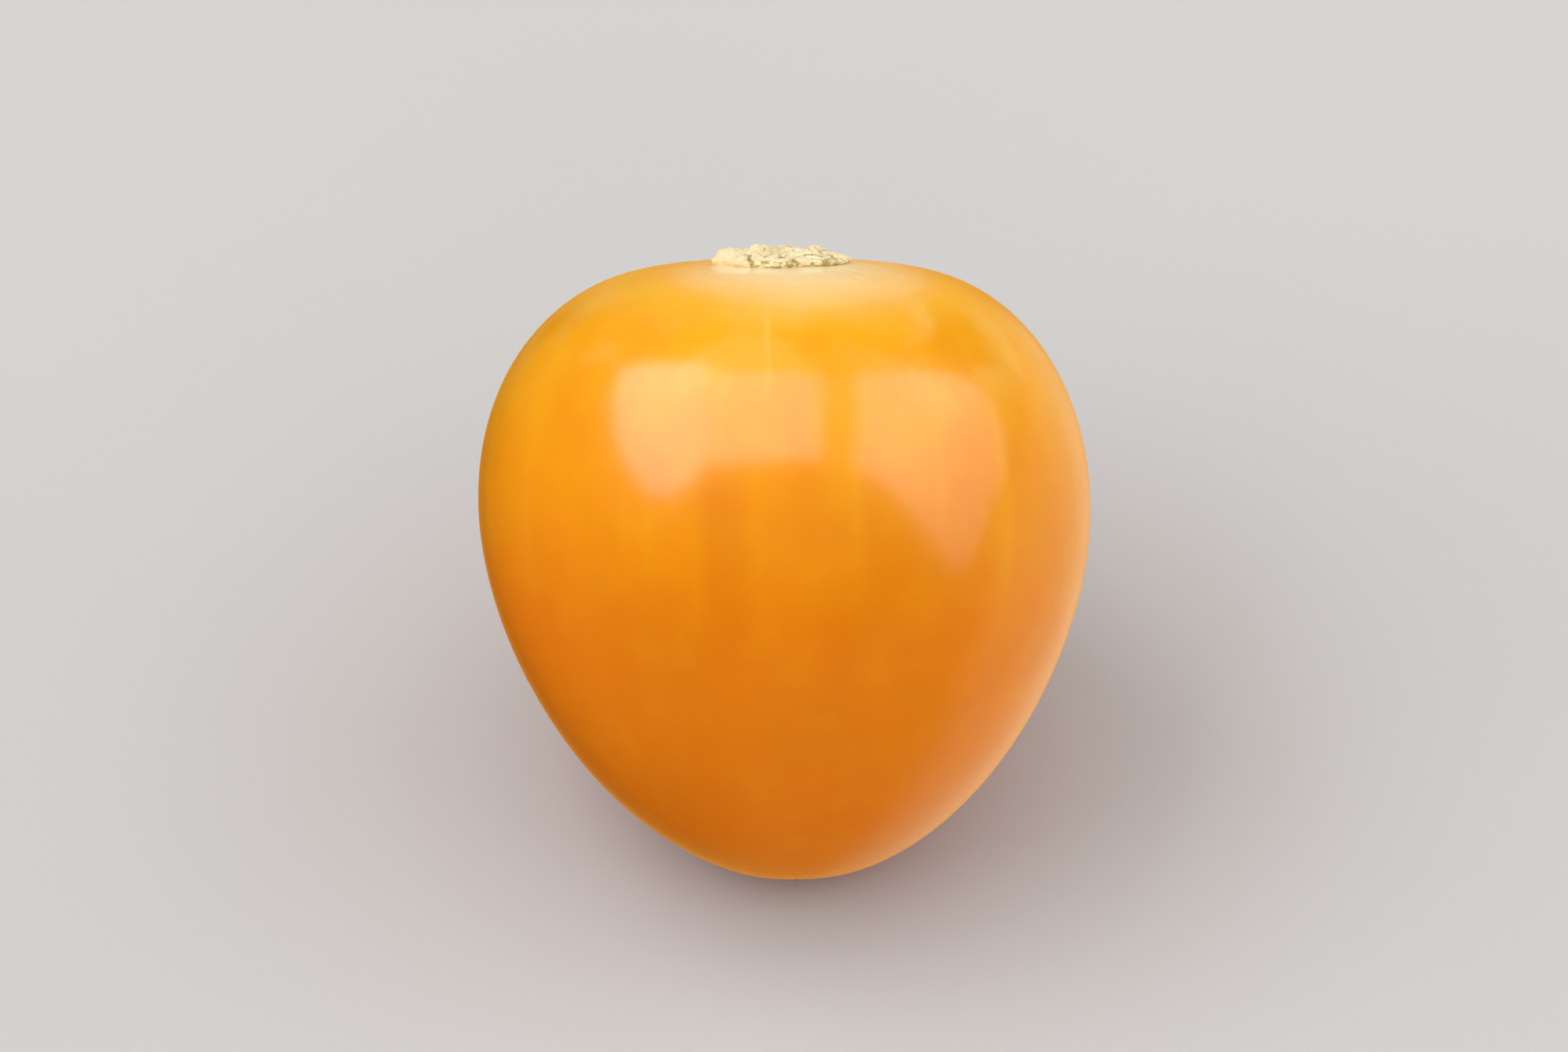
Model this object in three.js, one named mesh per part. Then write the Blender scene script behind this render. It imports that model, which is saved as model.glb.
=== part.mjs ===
// A ripe physalis berry with its husk off, lying on a table with its stem end up and leaning back.
// Millimetres, +Z up. The origin is on the table, under the middle of the berry.
import * as THREE from 'three';

// Driving dimensions, in millimetres and degrees.
const MEAN_RADIUS = 9.4;
const HALF_LENGTH = 10.35; // half of the fruit's length, before its crown is flattened
const LEAN_BACK_DEG = 40.5; // the stem end leans back, towards +Y
const LEAN_LEFT_DEG = 0.5; // and a little towards -X
const FLAT_SPOT_DEPTH = 0.48; // how much of the underside the table presses flat
const FLAT_SPOT_ROUND = 0.05; // soft rim of the flat spot

// How the fruit departs from an egg shape.
const HEART = 0.08; // share of the radius: moves the girth towards the stem and tapers the blossom end
const CROWN_SINK = 1.6; // flattens the crown between the shoulders
const CROWN_SINK_RADIUS = 5;
const BLOSSOM_SHIFT = 0.4; // the blossom end grew a little towards +X
const BELLY = 0.3; // fuller flank on the side that the fruit lies on
const BELLY_POLAR_DEG = 65; // its middle, from the blossom end
const BELLY_SPREAD_DEG = 30;
const OVAL = 0.004; // share of the radius: the section is slightly oval
const THREE_SIDED = 0.003; // and very slightly three-sided

// Relief in the skin.
const COLLAR_HEIGHT = 0.4; // raised skin round the stem
const COLLAR_RADIUS = 2.5;
const SEAT_DEPTH = 0.1; // shallow seat under the corky pad
const SEAT_RADIUS = 1.7;
const DIMPLE_DEPTH = 0.14; // blossom end
const DIMPLE_RADIUS = 1.1;
const STYLE_HEIGHT = 0.17; // dry stub of the style, in the dimple
const STYLE_RADIUS = 0.3;

// The corky pad that the husk and stalk left on the crown.
const PAD_RADIUS = 2.1;
const PAD_THICKNESS = 0.34;
const PAD_EDGE = 0.12; // thickness of its torn edge
const PAD_CLEARANCE = 0.04; // between the pad and the skin
const PAD_PIT_DEPTH = 0.16; // where the stalk's strands broke out
const PAD_PIT_RADIUS = 0.5;
const GRAIN_COUNT = 34; // crumbs of cork over the pad
const GRAIN_RADIUS = 0.27;
const GRAIN_HEIGHT = 0.17;
const STUB_RADIUS = 0.32; // torn ends of the stalk's strands, standing a little higher
const STUB_HEIGHT = 0.1;
const STUB_PLACES = [[-0.55, 0.75], [1.15, 0.45], [-1.5, 0.1], [0.4, -1.1]];

// Mesh fineness.
const FRUIT_SEGMENTS = 64;
const FRUIT_ROWS = 46;
const ROW_CROWDING = 0.6; // 0 spaces the rows evenly, and 1 crowds them most at the two ends
const PAD_SEGMENTS = 48;
const PAD_UNDERSIDE_ROWS = 5;
const PAD_FACE_ROWS = 12;

const FULL_TURN = 2 * Math.PI;
const GOLDEN_ANGLE = Math.PI * (3 - Math.sqrt(5));

function bump(distance, radius) {
  return Math.exp(-((distance / radius) ** 2));
}

// A closed skin: a sphere whose vertices are moved to pointAt(height, turn). Height is 0 at the bottom
// pole and 1 at the top pole, and turn is an angle round the axis.
function closedSkin(segments, rows, pointAt) {
  const geometry = new THREE.SphereGeometry(1, segments, rows);
  const position = geometry.getAttribute('position');
  const uv = geometry.getAttribute('uv');
  for (let i = 0; i < position.count; i++) {
    const point = pointAt(uv.getY(i), uv.getX(i) * FULL_TURN);
    position.setXYZ(i, point.x, point.y, point.z);
  }
  geometry.computeVertexNormals();
  return geometry;
}

// The fruit's outline: polar runs from 0 at the blossom end to pi at the crown.
function outlineRadius(polar) {
  return MEAN_RADIUS * (Math.sin(polar) - HEART * Math.sin(2 * polar));
}

function outlineHeight(polar) {
  const radius = outlineRadius(polar);
  const crownShare = ((1 - Math.cos(polar)) / 2) ** 2;
  const crownRelief = COLLAR_HEIGHT * bump(radius, COLLAR_RADIUS)
    - SEAT_DEPTH * bump(radius, SEAT_RADIUS) - CROWN_SINK * bump(radius, CROWN_SINK_RADIUS);
  const blossomRelief = DIMPLE_DEPTH * bump(radius, DIMPLE_RADIUS)
    - STYLE_HEIGHT * bump(radius, STYLE_RADIUS);
  return -HALF_LENGTH * Math.cos(polar) + crownShare * crownRelief
    + blossomShare(polar) * blossomRelief;
}

function blossomShare(polar) {
  return ((1 + Math.cos(polar)) / 2) ** 2;
}

function direction(polar, turn) {
  return new THREE.Vector3(
    Math.sin(polar) * Math.cos(turn),
    Math.sin(polar) * Math.sin(turn),
    -Math.cos(polar),
  );
}

const bellyMiddle = direction(THREE.MathUtils.degToRad(BELLY_POLAR_DEG), Math.PI / 2);

function skinPoint(polar, turn) {
  const outOfRound = 1 + OVAL * Math.cos(2 * turn) + THREE_SIDED * Math.cos(3 * turn);
  const radius = outlineRadius(polar) * outOfRound;
  const shift = BLOSSOM_SHIFT * blossomShare(polar);
  const outwards = direction(polar, turn);
  const fromBelly = THREE.MathUtils.radToDeg(outwards.angleTo(bellyMiddle));
  return new THREE.Vector3(
    radius * Math.cos(turn) + shift,
    radius * Math.sin(turn),
    outlineHeight(polar),
  ).addScaledVector(outwards, BELLY * bump(fromBelly, BELLY_SPREAD_DEG));
}

// Height of the crown's skin at a distance from the axis, by halving the range of polar angles.
function crownHeight(radius) {
  let nearAxis = Math.PI;
  let nearGirth = Math.PI / 2;
  for (let step = 0; step < 40; step++) {
    const middle = (nearAxis + nearGirth) / 2;
    if (outlineRadius(middle) < radius) {
      nearAxis = middle;
    } else {
      nearGirth = middle;
    }
  }
  return outlineHeight(nearAxis);
}

// The way up, and the table's height, in the fruit's own frame.
const lean = new THREE.Euler(
  THREE.MathUtils.degToRad(-LEAN_BACK_DEG),
  THREE.MathUtils.degToRad(-LEAN_LEFT_DEG),
  0,
);
const up = new THREE.Vector3(0, 0, 1).applyQuaternion(new THREE.Quaternion().setFromEuler(lean).invert());

function lowestSkin() {
  let lowest = Infinity;
  for (let row = 0; row <= FRUIT_ROWS; row++) {
    for (let segment = 0; segment < FRUIT_SEGMENTS; segment++) {
      const point = skinPoint((Math.PI * row) / FRUIT_ROWS, (FULL_TURN * segment) / FRUIT_SEGMENTS);
      lowest = Math.min(lowest, point.dot(up));
    }
  }
  return lowest;
}

const tableHeight = lowestSkin() + FLAT_SPOT_DEPTH;

// Skin that would lie below the table is pressed up to it.
function pressFlat(point) {
  const height = point.dot(up) - tableHeight;
  if (height >= FLAT_SPOT_ROUND) {
    return point;
  }
  const pressed = height > -FLAT_SPOT_ROUND
    ? (height + FLAT_SPOT_ROUND) ** 2 / (4 * FLAT_SPOT_ROUND)
    : 0;
  return point.addScaledVector(up, pressed - height);
}

function makeBerry() {
  const geometry = closedSkin(FRUIT_SEGMENTS, FRUIT_ROWS, (height, turn) => {
    const even = height * Math.PI;
    const polar = even - (ROW_CROWDING * Math.sin(2 * even)) / 2;
    return pressFlat(skinPoint(polar, turn));
  });
  const skin = new THREE.MeshStandardMaterial({ color: 0xf09a0c, roughness: 0.3, metalness: 0 });
  const berry = new THREE.Mesh(geometry, skin);
  berry.name = 'berry';
  return berry;
}

// The pad's torn outline: blunt on the left, drawn out on the right, with a scalloped edge.
function padOutline(turn) {
  return PAD_RADIUS * (1 + 0.05 * Math.cos(2 * turn + 0.5) + 0.045 * Math.cos(3 * turn - 0.6)
    + 0.03 * Math.cos(5 * turn + 2) + 0.025 * Math.cos(9 * turn + 1));
}

// Crumbs of cork, set out on a golden-angle spiral so that they cover the pad evenly.
const grains = Array.from({ length: GRAIN_COUNT }, (_, k) => {
  const distance = PAD_RADIUS * Math.sqrt((k + 0.5) / GRAIN_COUNT);
  return {
    x: distance * Math.cos(k * GOLDEN_ANGLE),
    y: distance * Math.sin(k * GOLDEN_ANGLE),
    height: GRAIN_HEIGHT * (0.65 + 0.35 * Math.sin(5 * k)),
  };
});

function padThickness(x, y, share) {
  const body = PAD_EDGE + (PAD_THICKNESS - PAD_EDGE) * Math.sqrt(Math.max(0, 1 - share ** 6));
  const grainTops = grains.map((g) => g.height * bump(Math.hypot(x - g.x, y - g.y), GRAIN_RADIUS));
  const stubTops = STUB_PLACES.map((s) => STUB_HEIGHT * bump(Math.hypot(x - s[0], y - s[1]), STUB_RADIUS));
  const pit = PAD_PIT_DEPTH * bump(Math.hypot(x, y), PAD_PIT_RADIUS);
  return body + Math.max(...grainTops) + Math.max(...stubTops) - pit;
}

function makeStemScar() {
  const rows = PAD_UNDERSIDE_ROWS + 1 + PAD_FACE_ROWS;
  const geometry = closedSkin(PAD_SEGMENTS, rows, (height, turn) => {
    const row = Math.round(height * rows);
    const underside = row <= PAD_UNDERSIDE_ROWS;
    const share = underside ? row / PAD_UNDERSIDE_ROWS : (rows - row) / PAD_FACE_ROWS;
    const radius = padOutline(turn) * share;
    const x = radius * Math.cos(turn);
    const y = radius * Math.sin(turn);
    const seat = crownHeight(radius) + PAD_CLEARANCE;
    return new THREE.Vector3(x, y, underside ? seat : seat + padThickness(x, y, share));
  });
  const cork = new THREE.MeshStandardMaterial({ color: 0xe8d3a0, roughness: 0.95, metalness: 0 });
  const scar = new THREE.Mesh(geometry, cork);
  scar.name = 'stem_scar';
  return scar;
}

// The leaning fruit, set down with the origin under the middle of its box.
const fruit = new THREE.Group();
fruit.rotation.copy(lean);
fruit.add(makeBerry(), makeStemScar());

const physalis = new THREE.Group();
physalis.add(fruit);
physalis.updateMatrixWorld(true);
const box = new THREE.Box3().setFromObject(physalis, true);
fruit.position.set(-(box.min.x + box.max.x) / 2, -(box.min.y + box.max.y) / 2, -box.min.z);

export default physalis;
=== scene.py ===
import math
import random

import bpy
import numpy as np
from mathutils import Euler, Matrix, Vector, noise


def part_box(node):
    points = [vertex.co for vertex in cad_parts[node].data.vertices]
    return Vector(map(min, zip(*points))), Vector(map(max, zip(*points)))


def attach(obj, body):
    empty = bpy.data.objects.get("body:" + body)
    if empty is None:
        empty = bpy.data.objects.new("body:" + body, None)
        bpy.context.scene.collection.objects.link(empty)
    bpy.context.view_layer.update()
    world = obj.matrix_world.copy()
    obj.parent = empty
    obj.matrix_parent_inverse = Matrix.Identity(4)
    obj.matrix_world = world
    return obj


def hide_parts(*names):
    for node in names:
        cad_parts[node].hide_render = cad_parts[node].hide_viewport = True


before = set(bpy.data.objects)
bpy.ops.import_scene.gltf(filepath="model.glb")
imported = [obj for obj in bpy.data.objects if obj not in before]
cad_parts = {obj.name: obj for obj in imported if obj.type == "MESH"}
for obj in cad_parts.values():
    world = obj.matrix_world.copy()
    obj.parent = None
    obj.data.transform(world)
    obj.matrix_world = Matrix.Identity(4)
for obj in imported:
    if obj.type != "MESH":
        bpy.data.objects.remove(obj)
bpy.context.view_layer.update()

MM = 0.001
FULL_TURN = 2 * math.pi
QUARTER_TURN = math.pi / 2
WORK = bpy.context.scene.collection

# The fruit's form, in millimetres, in its own frame: the axis is Z, and the stem end is up.
MEAN_RADIUS = 9.4
HALF_LENGTH = 10.35
LEAN_BACK = math.radians(40.5)
LEAN_LEFT = math.radians(0.5)
FLAT_SPOT_DEPTH = 0.48
FLAT_SPOT_ROUND = 0.05
HEART = 0.08
CROWN_SINK = 1.6
CROWN_SINK_RADIUS = 5.0
BLOSSOM_SHIFT = 0.4
BELLY = 0.3
BELLY_POLAR = math.radians(65)
BELLY_SPREAD = math.radians(30)
OVAL = 0.004
THREE_SIDED = 0.003
COLLAR_HEIGHT = 0.4
COLLAR_RADIUS = 2.5
SEAT_DEPTH = 0.1
SEAT_RADIUS = 1.7
DIMPLE_DEPTH = 0.14
DIMPLE_RADIUS = 1.1
STYLE_HEIGHT = 0.12
STYLE_RADIUS = 0.3

TABLE_SCAN_ROWS = 46
TABLE_SCAN_SEGMENTS = 64
PLACE_SCAN = 400
OUTLINE_SAMPLES = 2000
LUMP_REACH = 0.8


def turns(segments):
    return FULL_TURN * np.arange(segments) / segments


def points_at(x, y, z):
    return np.stack(np.broadcast_arrays(x, y, z), -1)


def bump(distance, radius):
    return np.exp(-((distance / radius) ** 2))


def outline_radius(polar):
    return MEAN_RADIUS * (np.sin(polar) - HEART * np.sin(2 * polar))


def blossom_share(polar):
    return ((1 + np.cos(polar)) / 2) ** 2


def outline_height(polar):
    radius = outline_radius(polar)
    crown_share = ((1 - np.cos(polar)) / 2) ** 2
    crown_relief = COLLAR_HEIGHT * bump(radius, COLLAR_RADIUS)
    crown_relief = crown_relief - SEAT_DEPTH * bump(radius, SEAT_RADIUS)
    crown_relief = crown_relief - CROWN_SINK * bump(radius, CROWN_SINK_RADIUS)
    blossom_relief = DIMPLE_DEPTH * bump(radius, DIMPLE_RADIUS) - STYLE_HEIGHT * bump(radius, STYLE_RADIUS)
    body = -HALF_LENGTH * np.cos(polar)
    return body + crown_share * crown_relief + blossom_share(polar) * blossom_relief


def direction(polar, turn):
    return points_at(np.sin(polar) * np.cos(turn), np.sin(polar) * np.sin(turn), -np.cos(polar))


def level_direction(turn):
    return direction(np.full_like(turn, QUARTER_TURN), turn)


def skin_point(polar, turn):
    radius = outline_radius(polar) * (1 + OVAL * np.cos(2 * turn) + THREE_SIDED * np.cos(3 * turn))
    outwards = direction(polar, turn)
    belly_middle = direction(np.array(BELLY_POLAR), np.array(QUARTER_TURN))
    from_belly = np.arccos(np.clip(outwards @ belly_middle, -1, 1))
    x = radius * np.cos(turn) + BLOSSOM_SHIFT * blossom_share(polar)
    place = points_at(x, radius * np.sin(turn), outline_height(polar))
    return place + outwards * (BELLY * bump(from_belly, BELLY_SPREAD))[..., None]


def skin_grid(polar, turn):
    return skin_point(*np.meshgrid(polar, turn, indexing="ij"))


def height_at(radius, crown):
    """Height of the skin at a distance from the axis, on the crown or at the blossom end."""
    polar = np.linspace(QUARTER_TURN, math.pi if crown else 0, OUTLINE_SAMPLES)
    return np.interp(radius, outline_radius(polar)[::-1], outline_height(polar)[::-1])


def crown_height(x, y):
    return float(height_at(math.hypot(x, y), True))


lean = Matrix.Rotation(-LEAN_BACK, 3, "X") @ Matrix.Rotation(-LEAN_LEFT, 3, "Y")
lean_table = np.array(lean)
up = lean_table[2]


def table_height():
    """How high the table is in the fruit's own frame, along the row frame's up."""
    polar = np.pi * np.arange(TABLE_SCAN_ROWS + 1) / TABLE_SCAN_ROWS
    return float((skin_grid(polar, turns(TABLE_SCAN_SEGMENTS)) @ up).min()) + FLAT_SPOT_DEPTH


TABLE = table_height()


def press_flat(points):
    """Skin that would lie below the table is pressed up to it."""
    height = points @ up - TABLE
    rounded = (height + FLAT_SPOT_ROUND) ** 2 / (4 * FLAT_SPOT_ROUND)
    pressed = np.where(height > -FLAT_SPOT_ROUND, rounded, 0.0)
    lift = np.where(height < FLAT_SPOT_ROUND, pressed - height, 0.0)
    return points + lift[..., None] * up


def fruit_place():
    """The fruit's own origin in the row frame, in metres: on the table, under the middle of its box."""
    polar = np.linspace(0, math.pi, PLACE_SCAN)
    turn = np.linspace(0, FULL_TURN, PLACE_SCAN, endpoint=False)
    skin = press_flat(skin_grid(polar, turn)) @ lean_table.T
    low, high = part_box("berry")
    middle = (skin.reshape(-1, 3).min(0) + skin.reshape(-1, 3).max(0)) / 2 * MM
    return Vector(((low.x + high.x) / 2 - middle[0], (low.y + high.y) / 2 - middle[1], low.z - TABLE * MM))


PLACE = fruit_place()


def to_row(points):
    """From the fruit's own frame in millimetres to the row frame in metres."""
    return np.asarray(points) @ lean_table.T * MM + np.array(PLACE)


def noise_at(points, size, seed=0.0):
    """Perlin noise, about -1 to 1, with lumps of that size."""
    flat = np.asarray(points, float).reshape(-1, 3) / size + seed
    values = np.array([noise.noise(Vector(p)) for p in flat])
    return values.reshape(np.shape(points)[:-1])


def lumps_at(points, size, seed=0.0):
    """Rounded granules, 1 at each one's middle and 0 in the creases between them."""
    flat = np.asarray(points, float).reshape(-1, 3) / size + seed
    nearest = np.array([noise.voronoi(Vector(p))[0][0] for p in flat])
    return np.sqrt(np.clip(1 - (nearest / LUMP_REACH) ** 2, 0, 1)).reshape(np.shape(points)[:-1])


# Mesh making.
def ring_points(turn, distance, height):
    """A ring of points round the axis."""
    return points_at(distance * np.cos(turn), distance * np.sin(turn), height)


def closed_grid(rows, bottom, top):
    """Vertices and faces of a closed skin: rings of points, from the bottom pole to the top pole."""
    count, segments = rows.shape[:2]
    vertices = np.concatenate([rows.reshape(-1, 3), [bottom], [top]])
    faces = []
    for ring in range(count - 1):
        low = ring * segments
        high = low + segments
        for segment in range(segments):
            after = (segment + 1) % segments
            faces.append((low + segment, low + after, high + after, high + segment))
    bottom_index = count * segments
    last = (count - 1) * segments
    for segment in range(segments):
        after = (segment + 1) % segments
        faces.append((bottom_index, after, segment))
        faces.append((bottom_index + 1, last + segment, last + after))
    return vertices, faces


def faces_out(vertices, faces):
    """The faces of a closed shell, turned over if they point inwards."""
    volume = 0.0
    for face in faces:
        a = vertices[face[0]]
        for i in range(1, len(face) - 1):
            volume += float(np.dot(a, np.cross(vertices[face[i]], vertices[face[i + 1]])))
    return [tuple(reversed(face)) for face in faces] if volume < 0 else faces


def joined(shells):
    """Several closed shells as one list of vertices and faces, each with its faces outwards."""
    vertices = []
    faces = []
    count = 0
    for shell, shell_faces in shells:
        shell_faces = faces_out(shell - shell.mean(0), shell_faces)
        vertices.append(shell)
        faces.extend(tuple(index + count for index in face) for face in shell_faces)
        count += len(shell)
    return np.concatenate(vertices), faces


def disc_rings(rings, first_side):
    """The rings of a thin closed disc, as (side, share of its reach): out on one face, then back."""
    outwards = [(first_side, ring / rings) for ring in range(1, rings + 1)]
    return outwards + [(-side, share) for side, share in reversed(outwards)]


def new_object(name, mesh):
    thing = bpy.data.objects.new(name, mesh)
    WORK.objects.link(thing)
    return thing


def finished(name, mesh, dirt_and_shade_values=None):
    """A smooth piece. Its object sits at the origin, and its place is in its mesh."""
    if dirt_and_shade_values is not None:
        # Each vertex's share of dirt and painted shade, for the cork's colour.
        attribute = mesh.attributes.new("dirt_and_shade", "FLOAT", "POINT")
        attribute.data.foreach_set("value", np.asarray(dirt_and_shade_values, np.float32))
    mesh.polygons.foreach_set("use_smooth", [True] * len(mesh.polygons))
    mesh.update()
    return new_object(name, mesh)


def make_piece(name, vertices, faces, material, dirt_and_shade_values=None):
    mesh = bpy.data.meshes.new(name)
    mesh.from_pydata([tuple(v) for v in vertices], [], faces_out(vertices, faces))
    mesh.materials.append(material)
    return finished(name, mesh, dirt_and_shade_values)


# Node making.
def add_node(tree, kind, **settings):
    node = tree.nodes.new(kind)
    for setting, value in settings.items():
        setattr(node, setting, value)
    return node


def feed(tree, socket, value):
    if isinstance(value, bpy.types.NodeSocket):
        tree.links.new(value, socket)
    else:
        socket.default_value = value


def feed_all(tree, node, **values):
    for label, value in values.items():
        feed(tree, node.inputs[label.replace("_", " ")], value)
    return node.outputs


def fed_node(tree, kind, **values):
    return feed_all(tree, add_node(tree, kind), **values)


def maths(tree, operation, first, second=None, third=None):
    node = add_node(tree, "ShaderNodeMath", operation=operation)
    for socket, value in zip(node.inputs, (first, second, third)):
        if value is not None:
            feed(tree, socket, value)
    return node.outputs[0]


def product(tree, first, *others):
    for other in others:
        first = maths(tree, "MULTIPLY", first, other)
    return first


def vector_maths(tree, operation, first, second=None):
    node = add_node(tree, "ShaderNodeVectorMath", operation=operation)
    feed(tree, node.inputs[0], first)
    if second is not None:
        feed(tree, node.inputs["Scale" if operation == "SCALE" else 1], second)
    return node.outputs["Value" if operation in ("LENGTH", "DOT_PRODUCT") else "Vector"]


def axes_of(tree, vector):
    node = add_node(tree, "ShaderNodeSeparateXYZ")
    tree.links.new(vector, node.inputs[0])
    return tuple(node.outputs)


def vector_of(tree, x=0.0, y=0.0, z=0.0):
    return fed_node(tree, "ShaderNodeCombineXYZ", X=x, Y=y, Z=z)[0]


def remap(tree, value, low, high, to_low=0.0, to_high=1.0, smooth=True):
    node = add_node(tree, "ShaderNodeMapRange", interpolation_type="SMOOTHSTEP" if smooth else "LINEAR")
    values = {"Value": value, "From Min": low, "From Max": high, "To Min": to_low, "To Max": to_high}
    return feed_all(tree, node, **values)["Result"]


def mix_colours(tree, share, first, second):
    node = add_node(tree, "ShaderNodeMix", data_type="RGBA")
    feed(tree, node.inputs[0], share)
    for socket, value in ((node.inputs[6], first), (node.inputs[7], second)):
        feed(tree, socket, value if isinstance(value, bpy.types.NodeSocket) else (*value, 1.0))
    return node.outputs[2]


def lay(tree, under, mark, *masks):
    """Lays a mark, which is its colour and its share, over what is under it, where all the masks meet."""
    colour, share = mark
    return mix_colours(tree, product(tree, *masks, share), under, colour)


def colour_steps(tree, value, steps):
    node = add_node(tree, "ShaderNodeValToRGB")
    node.color_ramp.interpolation = "EASE"
    elements = node.color_ramp.elements
    while len(elements) < len(steps):
        elements.new(0.5)
    for element, (place, colour) in zip(elements, steps):
        element.position = place
        element.color = (*colour, 1.0)
    return feed_all(tree, node, Fac=value)["Color"]


def noise_texture(tree, vector, scale, detail=3.0, roughness=0.5):
    values = {"Vector": vector, "Scale": scale, "Detail": detail, "Roughness": roughness}
    return fed_node(tree, "ShaderNodeTexNoise", **values)["Fac"]


def cell_texture(tree, vector, scale, output="Distance"):
    node = add_node(tree, "ShaderNodeTexVoronoi", feature="F1")
    return feed_all(tree, node, Vector=vector, Scale=scale)[output]


def strayed(tree, value, wander, amount):
    """A distance that strays with the noise, so that what follows it has ragged edges."""
    return maths(tree, "MULTIPLY_ADD", wander, amount, maths(tree, "SUBTRACT", value, amount / 2))


def length_of(tree, vector):
    return vector_maths(tree, "LENGTH", vector)


def apart(tree, first, second):
    return maths(tree, "ABSOLUTE", maths(tree, "SUBTRACT", first, second))


def new_group(name, inputs, outputs, kind="ShaderNodeTree"):
    """A node group. Its sockets are given by name, each with its type, or with a number to start from."""
    tree = bpy.data.node_groups.new(name, kind)
    for in_out, sockets in (("INPUT", inputs), ("OUTPUT", outputs)):
        for label, given in sockets.items():
            sort = given if isinstance(given, str) else "Float"
            socket = tree.interface.new_socket(name=label, in_out=in_out, socket_type="NodeSocket" + sort)
            if sort != given:
                socket.default_value = given
    return tree, add_node(tree, "NodeGroupInput").outputs, add_node(tree, "NodeGroupOutput").inputs


def use_group(tree, group, **values):
    return feed_all(tree, add_node(tree, "ShaderNodeGroup", node_tree=group), **values)


def fresh_tree(owner, shader_kind, output_kind):
    """The node tree of a material or a world, with one shader that feeds its output."""
    owner.use_nodes = True
    tree = owner.node_tree
    tree.nodes.clear()
    shader = add_node(tree, shader_kind)
    fed_node(tree, output_kind, Surface=shader.outputs[0])
    return owner, tree, shader


def new_material(name, shader_kind="ShaderNodeBsdfPrincipled"):
    return fresh_tree(bpy.data.materials.new(name), shader_kind, "ShaderNodeOutputMaterial")


def relief(tree, shader, height, depth, strength):
    """Low relief in the shading. Depth is in millimetres."""
    bumps = fed_node(tree, "ShaderNodeBump", Strength=strength, Distance=depth * MM, Height=height)
    tree.links.new(bumps["Normal"], shader.inputs["Normal"])


# Effects that more than one material uses.
def streak_group():
    """Streaks that run from the stem to the blossom end, as lines of longitude."""
    inputs = {"Vector": "Vector", "Streaks Around": 6.0, "Run": 0.1, "Low": 0.45, "High": 0.65}
    tree, given, result = new_group("meridian_streaks", inputs, {"Mask": "Float"})
    x, y, z = axes_of(tree, given["Vector"])
    around = vector_maths(tree, "NORMALIZE", vector_of(tree, x, y))
    around = vector_maths(tree, "SCALE", around, given["Streaks Around"])
    along = vector_of(tree, z=product(tree, z, given["Run"]))
    streaks = noise_texture(tree, vector_maths(tree, "ADD", around, along), 1.0, detail=2.0, roughness=0.6)
    tree.links.new(remap(tree, streaks, given["Low"], given["High"]), result["Mask"])
    return tree


def mottle_group():
    """Soft uneven patches, such as flesh and seeds showing through a thin skin."""
    inputs = {"Vector": "Vector", "Patch Size": 3.0, "Low": 0.35, "High": 0.65}
    tree, given, result = new_group("soft_mottle", inputs, {"Mask": "Float"})
    scale = maths(tree, "DIVIDE", 1.0, given["Patch Size"])
    patches = noise_texture(tree, given["Vector"], scale, detail=2.5, roughness=0.45)
    tree.links.new(remap(tree, patches, given["Low"], given["High"]), result["Mask"])
    return tree


def pebble_group():
    """Fine pebbled relief: rounded cells with creases, and a little finer roughness on them."""
    inputs = {"Vector": "Vector", "Cell Size": 0.2, "Crumble": 0.3}
    tree, given, result = new_group("pebbled_relief", inputs, {"Height": "Float", "Crease": "Float"})
    scale = maths(tree, "DIVIDE", 1.0, given["Cell Size"])
    cells = cell_texture(tree, given["Vector"], scale)
    rough = product(tree, noise_texture(tree, given["Vector"], product(tree, scale, 2.3)), given["Crumble"])
    tree.links.new(maths(tree, "ADD", maths(tree, "SUBTRACT", 1.0, cells), rough), result["Height"])
    tree.links.new(remap(tree, cells, 0.35, 0.7), result["Crease"])
    return tree


STREAKS = streak_group()
MOTTLE = mottle_group()
PEBBLES = pebble_group()


def streaks_on(tree, spot, around, run, low, high):
    return use_group(tree, STREAKS, Vector=spot, Streaks_Around=around, Run=run, Low=low, High=high)["Mask"]


def mottle_on(tree, spot, size, low, high):
    return use_group(tree, MOTTLE, Vector=spot, Patch_Size=size, Low=low, High=high)["Mask"]


def object_coordinates(tree):
    return add_node(tree, "ShaderNodeTexCoord").outputs["Object"]


def fruit_coordinates(tree):
    """The fruit's own frame, in millimetres, from Object coordinates."""
    mapping = add_node(tree, "ShaderNodeMapping", vector_type="TEXTURE")
    feed_all(tree, mapping, Location=PLACE, Rotation=lean.to_euler("XYZ"), Scale=(MM, MM, MM))
    return feed_all(tree, mapping, Vector=object_coordinates(tree))["Vector"]


# The skin's colours. Marks are a colour and its share where the mark is strongest.
# The flesh from the blossom end to the crown: its own colour, with painted light and shade, lighter and
# yellower at the top.
FLESH_AND_TOP_LIGHT_STEPS = [
    (0.0, (0.79, 0.178, 0.001)),
    (0.35, (0.81, 0.215, 0.001)),
    (0.62, (0.84, 0.290, 0.002)),
    (0.85, (0.87, 0.370, 0.006)),
    (1.0, (0.89, 0.430, 0.012)),
]
CREAM_STEPS = [
    (0.0, (0.98, 0.80, 0.46)),
    (0.22, (0.97, 0.71, 0.35)),
    (0.42, (0.95, 0.61, 0.23)),
    (0.62, (0.93, 0.53, 0.15)),
    (0.82, (0.91, 0.45, 0.08)),
    (1.0, (0.88, 0.40, 0.02)),
]
RIPE_PATCH = ((0.70, 0.185, 0.001), 0.30)
SEED = ((0.90, 0.40, 0.008), 0.10)
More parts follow.
